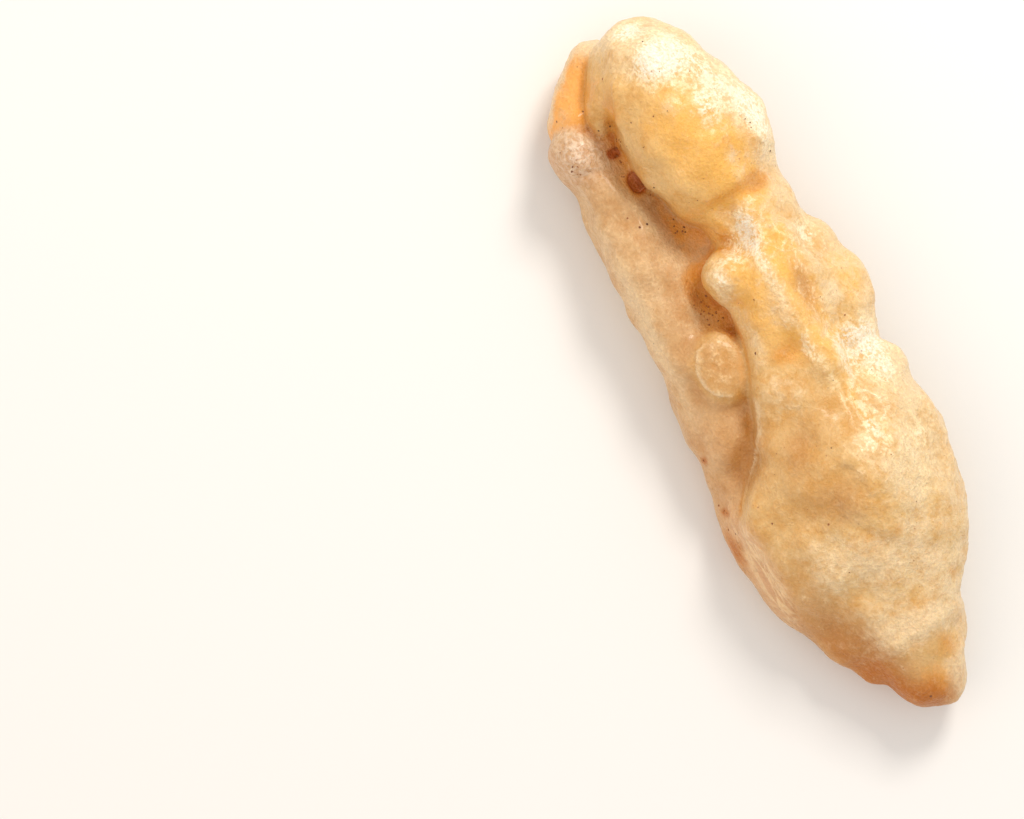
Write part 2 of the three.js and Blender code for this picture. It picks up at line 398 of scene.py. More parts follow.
@dataclass(frozen=True)
class FilletForm:
    """The whole form: bodies joined, pits taken out and the underside flat where it rests."""

    bodies: tuple[Body, ...] = (CRUST, STRIP, KNOB, FLAP)
    pits: tuple[Lobe, ...] = (
        Lobe((-45.2, -7.4, 13.8), (2.2, 1.7, 3.6)), Lobe((-52.3, -8.8, 13.6), (0.9, 1.3, 1.8)),
    )
    rest_level: float = -0.9
    voxel: float = 0.48
    under_share: float = 0.5
    under_height: float = 9.0
    facet: float = 0.9
    settle_rounds: int = 3
    broad_reach: float = 0.4
    presses: tuple[Press, ...] = (
        Press((-10, 12.9), (10, 2.2), -0.85), Press((-24, 12.5), (3, 2.6), 0.5),
        Press((-8, 5.5), (3, 2.4), 0.35), Press((-16, 7.6), (2.6, 1.6), 0.4),
        Press((-34, -6), (7, 2.6), 0.8, 8), Press((13, 12.6), (9, 1.9), -0.9, -3),
        Press((27.5, 2.2), (4.6, 2.2), -0.6, 12), Press((29, -5), (3, 7.5), -0.6, 6),
        Press((36, 0.8), (6.5, 1.8), -0.7, 42), Press((-33.6, 9.5), (2.3, 8), -0.8, 4),
        Press((-2.2, 12.5), (1.2, 4), -0.7, 10), Press((-2, 3), (2.2, 4.6), -0.6, 20),
        Press((63, 5.2), (3, 3), -0.5), Press((-54.8, 4), (2.6, 2.2), 0.5),
        Press((-37.2, 9.4), (3, 3.6), 0.45), Press((-30, 8.6), (3.4, 3), 0.9),
        Press((22, 9.6), (3.4, 4.4), 0.55, 20), Press((-20, -2), (3.4, 2.2), 0.5),
        Press((43, 1.2), (7, 2.4), 0.5, 24), Press((58, 2), (1.6, 7), 0.6, 4),
        Press((-66, 5.5), (3.6, 4), 0.45, 20), Press((14.5, -15.2), (8, 2), -0.9, -36),
        Press((-5, -9.4), (4.4, 3.4), -0.8, -8), Press((-50.8, -15.5), (0.9, 4), -0.6, -8),
        Press((-46.5, -15), (2.8, 3.4), 0.4),
    )
    folds: tuple[Fold, ...] = (
        Fold(((-28, 9.6), (-18, 9.4), (-8, 9), (-2, 8.8)), 0.9, 4, -0.8),
        Fold(((3, 8.8), (9, 8.9), (16, 8.8), (20, 8.4)), 0.9, 4, -0.7),
        Fold(((20.5, 0.8), (23, 3.6), (26.5, 5), (31, 4.2)), 0.8, 4, 0.7),
        Fold(((12, -1.5), (15, 0.4), (20, 1.6), (24, 3)), 1.6, 5, 0.4),
        Fold(((-66, -2.6), (-61.5, -4.2), (-57.5, -5.6), (-54, -6.9), (-49, -7.8)), 0.5, 4, 1),
        Fold(((9, -9.4), (12, -11), (14.5, -12.6), (17, -15), (20, -17.4), (25, -19.8)), 0.5, 3, 0.8),
        Fold(KNOB_EDGE, 0.4, 3.5, 0.35),
    )

    def distance(self, points: Array) -> Array:
        """Distance from points to the finished form.

        Args:
            points: An array of places.

        Returns:
            One distance a place, negative inside.
        """
        near = self.bodies[0].distance(points)
        for body in self.bodies[1:]:
            near = soft_join(near, body.distance(points), body.crease)
        for pit in self.pits:
            near = np.maximum(near, -pit.distance(points))
        return np.maximum(near, self.rest_level - points[:, 2])

    def outward(self, points: Array, reach: float = 0.15) -> Array:
        """Directions in which the distance grows fastest.

        Args:
            points: An array of places.
            reach: How far to look, in millimetres.

        Returns:
            One unit vector a place.
        """
        slope = np.empty_like(points)
        for axis in range(3):
            step = np.zeros(3)
            step[axis] = reach
            slope[:, axis] = self.distance(points + step) - self.distance(points - step)
        return slope / np.maximum(np.linalg.norm(slope, axis=1), 1e-9)[:, None]

    def drawn_in(self, points: Array, back: bool) -> Array:
        """Draws the underside in, so that a remesh spends its faces on the shown side.

        Args:
            points: An array of places.
            back: Whether to undo it.

        Returns:
            The moved places.
        """
        share = self.under_share + (1.0 - self.under_share) * smooth(points[:, 2], 0.0, self.under_height)
        share = 1.0 / share if back else share
        return points * np.stack([share, share, np.ones(len(points))], 1)

    def centre(self, points: Array) -> Array:
        """The frame's origin: the middle of the skin's outline, at the rest level."""
        low, high = points.min(axis=0), points.max(axis=0)
        return np.array([(low[0] + high[0]) / 2, (low[1] + high[1]) / 2, self.rest_level])


class Wire:
    """A node's output that adds Math nodes when it is used in arithmetic."""

    def __init__(self, net: "Net", socket: bpy.types.NodeSocket) -> None:
        """Keeps the net and the socket."""
        self.net = net
        self.socket = socket

    def other(self, name: str) -> "Wire":
        """Another output of the same node."""
        return Wire(self.net, self.socket.node.outputs[name])

    def maths(self, operation: str, *values: "Wire | float") -> "Wire":
        """The result of one Math node on these values."""
        return self.net.add("ShaderNodeMath", {"operation": operation}, dict(enumerate(values)))

    def __add__(self, other: "Wire | float") -> "Wire":
        """The sum."""
        return self.maths("ADD", self, other)

    __radd__ = __add__

    def __sub__(self, other: "Wire | float") -> "Wire":
        """The difference."""
        return self.maths("SUBTRACT", self, other)

    def __rsub__(self, other: "Wire | float") -> "Wire":
        """The difference the other way round."""
        return self.maths("SUBTRACT", other, self)

    def __mul__(self, other: "Wire | float") -> "Wire":
        """The product."""
        return self.maths("MULTIPLY", self, other)

    __rmul__ = __mul__

    def __rtruediv__(self, other: "Wire | float") -> "Wire":
        """A number divided by this."""
        return self.maths("DIVIDE", other, self)

    def least(self, other: "Wire | float") -> "Wire":
        """The smaller of two."""
        return self.maths("MINIMUM", self, other)

    def eased(self, low: float, high: float, start: float = 0.0, end: float = 1.0) -> "Wire":
        """Eases from start at low to end at high."""
        values = {"Value": self, "From Min": low, "From Max": high, "To Min": start, "To Max": end}
        return self.net.add("ShaderNodeMapRange", {"interpolation_type": "SMOOTHSTEP"}, values)


class Net:
    """A node tree with one method that adds any node."""

    def __init__(self, tree: bpy.types.NodeTree) -> None:
        """Keeps the tree and empties it."""
        self.tree = tree
        self.tree.nodes.clear()

    def add(
        self,
        kind: str,
        settings: Mapping[str, Any] | None = None,
        values: Mapping[str | int, Any] | None = None,
        out: str | int = 0,
    ) -> Wire:
        """Adds a node, sets it up and connects it.

        Args:
            kind: The node's type.
            settings: The node's own properties, set first.
            values: Values or wires for its sockets, by name or number.
            out: The output to give back.

        Returns:
            That output, or the first input of a node that ends a tree.
        """
        node = self.tree.nodes.new(kind)
        for name, value in (settings or {}).items():
            setattr(node, name, value)
        for name, value in (values or {}).items():
            if isinstance(value, Wire):
                self.tree.links.new(value.socket, node.inputs[name])
            else:
                node.inputs[name].default_value = value
        return Wire(self, node.outputs[out] if len(node.outputs) else node.inputs[0])

    def scaled(self, vector: Wire, by: Wire | float) -> Wire:
        """A vector times a number."""
        return self.add("ShaderNodeVectorMath", {"operation": "SCALE"}, {0: vector, "Scale": by})

    def noise(
        self, place: Wire, size: Wire | float, detail: float = 3.0, rough: float = 0.5, bend: float = 0.0
    ) -> Wire:
        """Soft noise about 0.5, with lumps of this size in millimetres."""
        layers = {"Detail": detail, "Roughness": rough, "Distortion": bend}
        return self.add("ShaderNodeTexNoise", None, {"Vector": place, "Scale": 1.0 / size, **layers})

    def ridge(self, value: Wire, width: float) -> Wire:
        """1 on the thin lines where a noise passes its middle, and 0 away from them."""
        off = value - 0.5
        return off.maths("ABSOLUTE", off).eased(0.0, width, 1.0, 0.0)

    def cells(self, place: Wire, size: Wire | float) -> Wire:
        """Distance to scattered points with this spacing in millimetres, for pores and blisters."""
        return self.add("ShaderNodeTexVoronoi", {"feature": "F1"}, {"Vector": place, "Scale": 1.0 / size})


def tone(code: str) -> tuple[float, float, float, float]:
    """A colour in linear light.

    Args:
        code: Six hex digits.

    Returns:
        Red, green, blue and 1.
    """
    levels = [int(code[i : i + 2], 16) / 255 for i in (0, 2, 4)]
    red, green, blue = (v / 12.92 if v <= 0.04045 else ((v + 0.055) / 1.055) ** 2.4 for v in levels)
    return red, green, blue, 1.0


class MaterialNet(Net):
    """The node tree of a new material."""

    def __init__(self, name: str) -> None:
        """Starts the material.

        Args:
            name: The material's name.
        """
        self.material = bpy.data.materials.new(name)
        self.material.use_nodes = True
        super().__init__(self.material.node_tree)

    def place(self) -> Wire:
        """Where a point lies on its piece, in millimetres."""
        return self.scaled(self.add("ShaderNodeTexCoord", out="Object"), 1.0 / MM)

    def mix(self, share: Wire | float, *colours: Wire | str) -> Wire:
        """Mixes two colours: a share of 0 gives the first and 1 the second."""
        first, second = (tone(colour) if isinstance(colour, str) else colour for colour in colours)
        return self.add("ShaderNodeMix", {"data_type": "RGBA"}, {0: share, 6: first, 7: second}, 2)

    def bump(self, strength: float, depth: float, height: Wire) -> Wire:
        """Normals that follow a height, with its depth in millimetres."""
        values = {"Strength": strength, "Distance": depth * MM, "Height": height}
        return self.add("ShaderNodeBump", None, values)

    def close(self, values: Mapping[str, Any], settings: Mapping[str, Any] | None = None) -> None:
        """Ends the tree in one shader with these values."""
        shader = self.add("ShaderNodeBsdfPrincipled", settings, values)
        self.add("ShaderNodeOutputMaterial", None, {"Surface": shader})


@dataclass(frozen=True)
class BatterFinish:
    """Fried batter: golden, frosted where dry, amber where thin and oily, with painted shade in the
    creases, under edges and on shaded flanks, and painted light on the far flank, edges and white glints.
    """

    pale: str = "dfba7e"
    gold: str = "d19d54"
    # Pale batter, also used for painted light on the far flank, the flap's outer edge and bright rim lines.
    cream_and_painted_light: str = "e8cda4"
    honey: str = "f0b654"
    amber: str = "dd9738"
    milk: str = "f9ddab"
    frost: str = "f4f0e2"
    # Browned batter, also used for painted shade on shaded flanks, troughs and the pocket under the crust's
    # edge.
    toast_and_shade: str = "ba8040"
    # Painted shade: brown laid in creases, hollows and under overhanging edges.
    fold: str = "d48e30"
    crease: str = "c87814"
    strip: str = "d0a979"
    strip_dark: str = "c08c54"
    nub: str = "f2dcc4"
    nub_dark: str = "d2a67e"
    toe: str = "b4660e"
    rose: str = "d8aa82"
    flap: str = "f2aa52"
    pit: str = "a64606"
    pore: str = "9c5c30"
    bump_strength: float = 0.8
    bump_depth: float = 0.42
    glow: float = 0.3
    glow_tint: Place = (1.0, 0.78, 0.55)
    glow_depth: float = 1.5
    ior: float = 1.44
    shine: float = 0.34
    oil_roughness: float = 0.16

    def make(self) -> bpy.types.Material:
        """Builds the material.

        Returns:
            The batter's material.
        """
        net = MaterialNet("fried_batter")
        place = net.place()
        mark = {m: net.add("ShaderNodeAttribute", {"attribute_name": m.value}, out="Fac") for m in Mark}

        # Patterns, from broad clouds down to single grains.
        cloud = net.noise(place, 6.0, bend=0.4)
        blotch = net.noise(place, 2.2, detail=4.0, rough=0.6, bend=0.4)
        foam = net.noise(place, 1.5, rough=0.6, bend=1.4)
        froth = net.noise(place, 0.95, detail=2.0, rough=0.6, bend=0.5)
        grain = net.noise(place, 0.55, detail=2.0, rough=0.65)
        curl = net.ridge(net.noise(place, 1.9, detail=1.0, bend=1.8), 0.07)
        streak = net.add("ShaderNodeVectorMath", {"operation": "MULTIPLY"}, {0: place, 1: (0.2, 1.0, 1.0)})
        wrinkle = net.ridge(net.noise(streak, 1.7, detail=2.0, bend=0.6), 0.13)
        crinkle = (foam * 0.5 + froth * 0.5).eased(0.38, 0.62)

        # Where each fried colour shows, and where shade and light are painted.
        honey = (mark[Mark.HONEY] + blotch * 0.5 - 0.3).eased(0.0, 0.9)
        thin = (mark[Mark.AMBER] * 1.1 + blotch * 1.4 + froth * 0.4 - 0.95).eased(0.0, 0.9)
        rose = (mark[Mark.ROSE] + blotch * 0.5 - 0.25).eased(0.0, 1.0)
        # Browned patches and painted shade on shaded flanks, troughs and pockets.
        toast_and_shade = (mark[Mark.TOAST_AND_SHADE] + cloud * 0.6 - 0.3).eased(0.0, 1.0)
        brown = (mark[Mark.TOE] + cloud * 0.6 - 0.3).eased(0.0, 1.0)
        # Pale patches, plus painted light on the far flank and edges.
        cream_and_painted_light = (mark[Mark.CREAM_AND_PAINTED_LIGHT] + (blotch - 0.5) * (1.2 - 0.7 * mark[Mark.STRIP])).eased(0.0, 0.9)
        # Painted shade in creases and hollows, from the crease shade mark.
        crease_shade_share = mark[Mark.PAINTED_CREASE_SHADE] + blotch * 0.3 - 0.15
        fish = net.mix((cloud * 0.6 + blotch * 0.4).eased(0.32, 0.66), self.strip_dark, self.strip)
        nub = net.mix(crinkle, self.nub_dark, self.nub)

        # Dry froth, pores and pricks; the white froth flecks are partly painted glints.
        dry = (mark[Mark.FROST] + blotch * 1.1 + cloud * 0.4 - 0.85).eased(0.0, 1.0)
        dusty = (dry + cream_and_painted_light * 0.6).least(1.0)
        veil = foam.eased(0.42, 0.66) * 0.45 + curl * 0.35 + grain.eased(0.5, 0.64) * 0.45
        crumb = blotch * 0.3 + froth * 0.45 + grain * 0.25
        # White flecks of dry froth, partly painted glints.
        fleck_and_glint = (crumb + dry * 0.15 - 0.08).eased(0.455, 0.55) * (dry * 1.6).least(1.0)
        white = net.mix(mark[Mark.FROST].eased(0.35, 1.1), self.milk, self.frost)
        pore = net.cells(place, 3.4).eased(0.035, 0.07, 1.0, 0.0) * blotch.eased(0.42, 0.55)
        prick = net.cells(place, 1.5).eased(0.05, 0.11, 1.0, 0.0) * foam.eased(0.45, 0.6, 1.0, 0.0)

        # Coats of colour, each over those before it.
        coats: tuple[tuple[Wire, Wire | str], ...] = (
            (honey * 0.8, self.honey),
            (mark[Mark.STRIP] * 0.9, fish),
            (mark[Mark.FLAP] * 0.9, self.flap),
            (thin * 0.85, self.amber),
            (rose * 0.8, self.rose),
            # Browned batter and painted shade.
            (toast_and_shade, self.toast_and_shade),
            (brown, self.toe),
            # Pale batter and painted light.
            (cream_and_painted_light * 0.85, self.cream_and_painted_light),
            # Painted shade: creases, hollows and the pocket under edges darkened to brown.
            (crease_shade_share.eased(0.12, 0.6) * 0.85, self.fold),
            (crease_shade_share.eased(0.5, 1.0) * 0.9, self.crease),
            (veil * (0.1 + 0.55 * dusty), self.milk),
            (dry * 0.4, self.milk),
            # White froth flecks, partly painted glints.
            (fleck_and_glint * (0.45 + 0.4 * grain.eased(0.4, 0.6)), white),
            (mark[Mark.FROST].eased(0.9, 1.6) * 0.4, self.frost),
            (mark[Mark.NUB] * 0.85, nub),
            (mark[Mark.ROSE].eased(0.3, 1.0) * wrinkle * 0.6, self.milk),
            (mark[Mark.PIT] * 0.9, self.pit),
            (pore * 0.6 + prick * 0.3, self.pore),
        )
        colour = net.mix((cloud * 0.7 + blotch * 0.3).eased(0.34, 0.62), self.gold, self.pale)
        for share, coat in coats:
            colour = net.mix(share, colour, coat)
        lively = 0.6 + 0.4 * dusty - 0.45 * dry
        light = 1.0 + (grain - 0.5) * 0.42 * lively + (froth - 0.5) * 0.3 * lively

        # Low relief and the film of oil.
        height = (grain + froth) * lively + foam * 0.4 + blotch * 0.5 + crinkle * mark[Mark.NUB] * 0.5
        height = height + curl * 0.2 * dusty + wrinkle * mark[Mark.ROSE] * 0.4
        # The oil coat is thinned where crease shade is painted, and on the browned tip.
        oil = (thin * 0.2 + 0.22) * crease_shade_share.eased(0.1, 0.7, 1.0, 0.1) * (1.0 - 0.9 * brown)
        values = {
            "Base Color": net.scaled(colour, light),
            "Roughness": 0.38 + 0.1 * dry - 0.08 * thin + 0.2 * (froth - 0.5),
            "Normal": net.bump(self.bump_strength, self.bump_depth, height),
            "Subsurface Weight": self.glow,
            "Subsurface Radius": self.glow_tint,
            "Subsurface Scale": self.glow_depth * MM,
            "IOR": self.ior,
            "Specular IOR Level": self.shine,
            "Coat Weight": oil,
            "Coat Roughness": self.oil_roughness,
        }
        net.close(values, {"subsurface_method": "RANDOM_WALK"})
        return net.material


@dataclass(frozen=True)
class SpeckFinish:
    """Dark brown specks of fried batter."""

    light: str = "a0602c"
    dark: str = "5a2c12"
    roughness: float = 0.45
    bump_strength: float = 0.4
    bump_depth: float = 0.2

    def make(self) -> bpy.types.Material:
        """Builds the material.

        Returns:
            The specks' material.
        """
        net = MaterialNet("dark_speck")
        place = net.place()
        colour = net.mix(net.noise(place, 6.0).eased(0.42, 0.6), self.light, self.dark)
        bump = net.bump(self.bump_strength, self.bump_depth, net.noise(place, 0.3))
        net.close({"Base Color": colour, "Roughness": self.roughness, "Normal": bump})
        return net.material


@dataclass(frozen=True)
class FloorFinish:
    """A plain pale floor."""

    colour: str = "ecebe9"
    roughness: float = 0.8

    def make(self) -> bpy.types.Material:
        """Builds the material.

        Returns:
            The floor's material.
        """
        net = MaterialNet("pale_floor")
        net.close({"Base Color": tone(self.colour), "Roughness": self.roughness})
        return net.material


def mesh_object(name: str, corners: Array, faces: Sequence[Sequence[int]]) -> bpy.types.Object:
    """Makes an object from corners and faces.

    Args:
        name: The object's name.
        corners: Places in metres.
        faces: Corner numbers of each face.

    Returns:
        The object, linked to the scene.
    """
    mesh = bpy.data.meshes.new(name)
    mesh.from_pydata(corners.tolist(), [], faces)
    made = bpy.data.objects.new(name, mesh)
    bpy.context.scene.collection.objects.link(made)
    return made


def settled(made: bpy.types.Object) -> bpy.types.Mesh:
    """A plain mesh of an object with its modifiers worked in; the modifiers are then removed.

    Args:
        made: The object.

    Returns:
        The plain mesh, already set as the object's own.
    """
    graph = bpy.context.evaluated_depsgraph_get()
    graph.update()
    mesh = bpy.data.meshes.new_from_object(made.evaluated_get(graph), depsgraph=graph)
    made.modifiers.clear()
    old = made.data
    made.data = mesh
    bpy.data.meshes.remove(old)
    mesh.name = made.name
    return mesh


def corners_of(mesh: bpy.types.Mesh) -> Array:
    """The mesh's corners as an array.

    Args:
        mesh: The mesh.

    Returns:
        One place a corner.
    """
    flat = np.empty(len(mesh.vertices) * 3)
    mesh.vertices.foreach_get("co", flat)
    return flat.reshape(-1, 3)


@dataclass(frozen=True)
class BatterRelief:
    """Fine relief of the fried crust, raised by Geometry Nodes. Sizes and heights are in millimetres."""

    lump_size: float = 5.0
    lump_height: float = 0.36
    pucker_size: float = 2.4
    pucker_height: float = 0.3
    curl_size: float = 1.9
    curl_height: float = 0.3
    blister_size: float = 3.1
    blister_height: float = 0.28
    grit_size: float = 1.3
    grit_height: float = 0.17

    def raise_on(self, made: bpy.types.Object, material: bpy.types.Material) -> None:
        """Adds the relief to an object and works it in.

        Args:
            made: The crust's object, with its marks.
            material: The finish it gets.
        """
        tree = bpy.data.node_groups.new("batter_relief", "GeometryNodeTree")
        face = tree.interface
        face.new_socket("Geometry", in_out="INPUT", socket_type="NodeSocketGeometry")
        names = [size.name for size in fields(self)]
        keys = [face.new_socket(name, in_out="INPUT", socket_type="NodeSocketFloat") for name in names]
        face.new_socket("Geometry", in_out="OUTPUT", socket_type="NodeSocketGeometry")
        net = Net(tree)
        shape = net.add("NodeGroupInput")
        size = {name: shape.other(name) for name in names}
        place = net.scaled(net.add("GeometryNodeInputPosition"), 1.0 / MM)
        lift = self.lift(net, place, size) * MM
        push = net.scaled(net.add("GeometryNodeInputNormal"), lift)
        moved = net.add("GeometryNodeSetPosition", None, {"Geometry": shape, "Offset": push})
        real = net.add("GeometryNodeRealizeInstances", None, {"Geometry": moved})
        dressed = net.add("GeometryNodeSetMaterial", None, {"Geometry": real, "Material": material})
        net.add("NodeGroupOutput", None, {"Geometry": dressed})
        worker = made.modifiers.new("relief", "NODES")
        worker.node_group = tree
        for name, key in zip(names, keys):
            worker[key.identifier] = getattr(self, name)
        settled(made)
        bpy.data.node_groups.remove(tree)

    def lift(self, net: Net, place: Wire, size: Mapping[str, Wire]) -> Wire:
        """How far the crust is raised, by its marks.

        Args:
            net: The relief's nodes.
            place: Where a point lies, in millimetres.
            size: The named sizes and heights.

        Returns:
            The lift in millimetres.
        """
        dry, rim, strip, nub, rose = (
            net.add("GeometryNodeInputNamedAttribute", {"data_type": "FLOAT"}, {"Name": mark.value})
            for mark in (Mark.FROST, Mark.CREAM_AND_PAINTED_LIGHT, Mark.STRIP, Mark.NUB, Mark.ROSE)
        )
        dry, rim = dry.least(1.0), rim.least(1.0)
        calm = 1.0 - 0.5 * strip.least(1.0)
        lumps = (net.noise(place, size["lump_size"], 2.0, 0.5, 0.3) - 0.5) * 2.0
        pucker = (net.noise(place, size["pucker_size"], 2.0, 0.6, 0.6) - 0.5) * 2.0
        grit = (net.noise(place, size["grit_size"], 1.0, 0.5, 0.5) - 0.5) * 2.0
        curl = net.ridge(net.noise(place, size["curl_size"], 1.0, 0.5, 1.0), 0.16)
        blister = net.cells(place, size["blister_size"]).eased(0.1, 0.42, 1.0, 0.0)
        lift = lumps * size["lump_height"] * calm
        lift = lift + pucker * size["pucker_height"] * (0.5 + 0.3 * dry + 0.5 * rim + 0.4 * nub) * calm
        lift = lift + grit * size["grit_height"] * (0.2 + 0.4 * dry + 0.6 * rim + 0.5 * nub) * calm
        curly = 0.05 + 0.1 * dry + 0.15 * rim + 0.3 * nub + 0.4 * rose
        lift = lift + curl * size["curl_height"] * curly
        return lift + blister * size["blister_height"] * (0.35 + 0.4 * dry) * calm


def cover_of(points: Array, patches: Sequence[Press | Fold]) -> Array:
    """How fully points are covered by patches and lines, each as strong as its lift."""
    return sum((patch.lift * patch.cover(points) for patch in patches), np.zeros(len(points)))


@dataclass
class FriedFillet:
    """The fillet: its form, where each finish of the batter and its painted shade and painted light are,
    and its relief.
    """

    form: FilletForm = field(default_factory=FilletForm)
    relief: BatterRelief = field(default_factory=BatterRelief)
    finish: BatterFinish = field(default_factory=BatterFinish)
    middle: Spot = (0.0, 0.0)
    # How far out to look for nearby batter when painting crease shade, in millimetres.
    painted_crease_shade_reaches: Spot = (3.2, 1.2)
    nub_at: Spot = (-55, -15.5)
    nub_half: Spot = (5.5, 5)
    frosted: tuple[Press, ...] = (
        Press((-64, 6), (5.5, 6), 1.3, 20), Press((-57, 14), (13, 4), 0.75, 14),
        Press((-51.5, 10), (6, 3.2), 0.75, 10), Press((-46, 19), (11, 3.5), 0.8),
        Press((-29, 8.4), (4.6, 3.4), 0.5), Press((-26, 4.5), (4.5, 3.2), 0.3, -35),
        Press((-23, 1), (2.6, 3.4), 0.5, -20), Press((-18, 6.8), (13, 1.9), 0.62),
        Press((-27, 11.5), (6, 4), 0.12), Press((-24, 5.5), (6, 4.2), 0.3, -20),
        Press((-72, 3.5), (2.6, 5), 0.9), Press((-21, 17), (5, 4), 0.7), Press((-6, 13), (4, 3), 0.25),
        Press((-14, 12.8), (9, 2.6), 0.3), Press((11, 19), (5, 4), 0.5), Press((-0.4, 15), (2.2, 6), 0.3),
        Press((3.5, 18), (6.5, 6.5), 0.95), Press((-1, 7), (6, 1.9), 0.52),
        Press((13, 10.5), (4.5, 3), 0.42, 15), Press((6, 12.5), (8, 1.8), 0.4, -6),
        Press((8, 8.4), (7, 1.1), 0.38), Press((17.5, 11), (2.4, 1.6), 0.4),
        Press((21, 9), (5, 5.5), 0.52, 20), Press((24, 19), (4, 3), 0.35), Press((21, 23), (4, 2), 0.4),
        Press((27, 15), (10, 6), 0.4, -10), Press((43, 1), (8, 4), 0.3, 26),
        Press((39, -7), (5, 4), 0.35, 20), Press((58, -2), (3, 5), 0.35),
        Press((-20, -2), (3.4, 2.4), 0.75), Press((-5.5, -9.5), (6, 4.5), 0.28),
        Press((-28, -13), (18, 3), 0.12),
    )
    creamy: tuple[Press, ...] = (
        Press((-54.8, 4), (2.2, 2), 0.5), Press((-41, 10.4), (1.8, 1.6), 0.4),
        Press((-37.4, 9.8), (1.4, 1.4), 0.4), Press((-68, 5), (6, 8), 0.8), Press((-74, -2), (3, 6), 1),
        Press((-50, 18.5), (14, 4), 0.9), Press((-28, 7), (7, 7), 0.4), Press((-16, 6.6), (16, 2), 0.5),
        Press((28, 14), (8, 4), 0.3, -8), Press((8, 20.5), (10, 5), 0.75),
        Press((-19, -2.2), (6, 2.6), 0.7), Press((-38, -15.5), (9, 3), 0.25),
        Press((-20, -18.5), (26, 2), 0.65), Press((-24, -14.5), (7, 3), 0.4),
        Press((-11, 4), (4.6, 2.4), 0.45), Press((-7, -1.8), (7, 1.9), 0.55), Press((5, -1), (5, 4), 0.4),
        Press((48, 10), (7, 4), 0.5, -16), Press((-8, 17), (3, 2), 0.5), Press((57, 1), (3.8, 8), 0.85, 6),
        Press((43, 1), (8, 5), 0.6, 26), Press((39, -8), (7, 6), 0.6, 20),
        Press((52, -4), (5, 5), 0.45, 20), Press((40, 8), (8, 5), 0.4, -10),
        Press((24, 8), (9, 4), 0.35, -6), Press((66.5, 4.2), (3.4, 2.6), 0.5, -30),
    )
    ambers: tuple[Press, ...] = (
        Press((-43, 11), (9, 4.5), 0.3, 8), Press((-34.5, 13), (2.6, 3.6), 0.85),
        Press((-34.4, 7), (1.5, 8), 0.75), Press((-45, 16), (7, 1.4), 0.6),
        Press((-63.5, -9.6), (6, 1.8), 0.9, -42), Press((-59, -6), (4.5, 1.8), 0.85, -20),
        Press((-30.2, -1), (2.6, 2), 0.6), Press((-46, -8.2), (3.6, 2.4), 0.7),
        Press((-33, -4.2), (7, 2.8), 0.8, 10), Press((-21, -5.4), (4, 0.8), 0.5),
        Press((-2.5, 2.5), (2.2, 3.6), 0.75, 20), Press((-15.5, -1), (2.2, 1.2), 0.5, 30),
        Press((-26.5, 15), (2.4, 2), 0.4), Press((-12, 12.4), (10, 2.6), 0.6),
        Press((63, 5.5), (3.4, 3), 0.65), Press((69.5, -0.5), (4.5, 3.5), 0.9, -20),
        Press((28.5, -22.5), (4.5, 1.2), 0.9), Press((38, 6.3), (1.6, 1), 0.4),
        Press((50.5, 12.5), (1.4, 1.4), 0.5),
    )
    honeyed: tuple[Press, ...] = (
        Press((-46, 5), (15, 9), 0.8, 8), Press((-42, 11), (9, 5), 0.7, 8),
        Press((-13, 11.6), (16, 3.6), 1), Press((-30, 7), (6, 8), 0.7), Press((-62, -5), (7, 3), 0.4, -24),
        Press((13, 14), (12, 4), 0.5), Press((-1, 13), (4, 6), 0.6), Press((-9, 1), (9, 6), 0.5),
        Press((-3, 5.5), (4, 3), 0.6), Press((30, 5), (10, 5), 0.4, 10), Press((-21, 9), (6, 6), 0.4),
        Press((-53, 4), (8, 5), 0.3), Press((-11, 21), (8, 4), 1), Press((-17, 2), (10, 6), 0.7),
        Press((10, 11), (9, 2.4), 0.4), Press((20, 23), (12, 2.5), 0.4), Press((62.6, 6), (3.4, 3.4), 0.6),
    )
    # Patches of browning and painted shade: the lower flank, troughs, creases, the nub's lower edge and the
    # pocket under the crust's edge.
    toast_and_shade_patches: tuple[Press, ...] = (
        Press((-60.5, -6), (6, 2.2), 0.3, -20), Press((16, -4), (5, 3), 0.45, -34),
        Press((-31, -9.8), (14, 2.2), 0.2), Press((-50, -5), (12, 3), 0.2, -6),
        Press((-50, -10), (5, 3), 0.5), Press((28, -1), (6, 5.5), 0.55, 20),
        Press((24, -9), (14, 7), 0.25, -10), Press((12, -12.5), (8, 4), 0.8, -35),
        Press((50, -12), (20, 7), 0.55, 24), Press((60, -7), (10, 5), 0.4, 30),
        Press((54, -14), (10, 3.6), 0.5, 30), Press((-50.8, -15.5), (1.2, 4), 0.5, -8),
        Press((-57, -20), (6, 1.6), 0.6, 10), Press((-12, 12.4), (9, 2.6), 0.6),
        Press((-34.5, 13), (2.4, 3.4), 0.4), Press((62.8, 5.6), (3, 2.8), 0.35),
        Press((-14, -15), (9, 3), 0.2), Press((-12, 0.5), (7, 2.6), 0.2, -6), Press((13, 3), (11, 8), 0.3),
        Press((10, 12.5), (6, 2.2), 0.3, -10), Press((16, 14.5), (5, 3.5), 0.3, 10),
        Press((31, 4.5), (5, 3), 0.2, 10), Press((10, -15.5), (12, 3), 0.25),
        Press((-22, -11), (12, 3.5), 0.3), Press((-5, -9.6), (8.4, 6.4), 0.6),
    )
    toes: tuple[Press, ...] = (
        Press((71.6, -1.6), (5, 5), 0.95, -20), Press((66, -8), (6.4, 4), 0.75, 20),
        Press((60, -12), (10, 4), 0.6, 34), Press((28.5, -22.6), (5, 1.3), 0.9),
        Press((9.6, -20.4), (1.1, 0.7), 1), Press((20.6, -21.4), (1.3, 0.8), 1),
    )
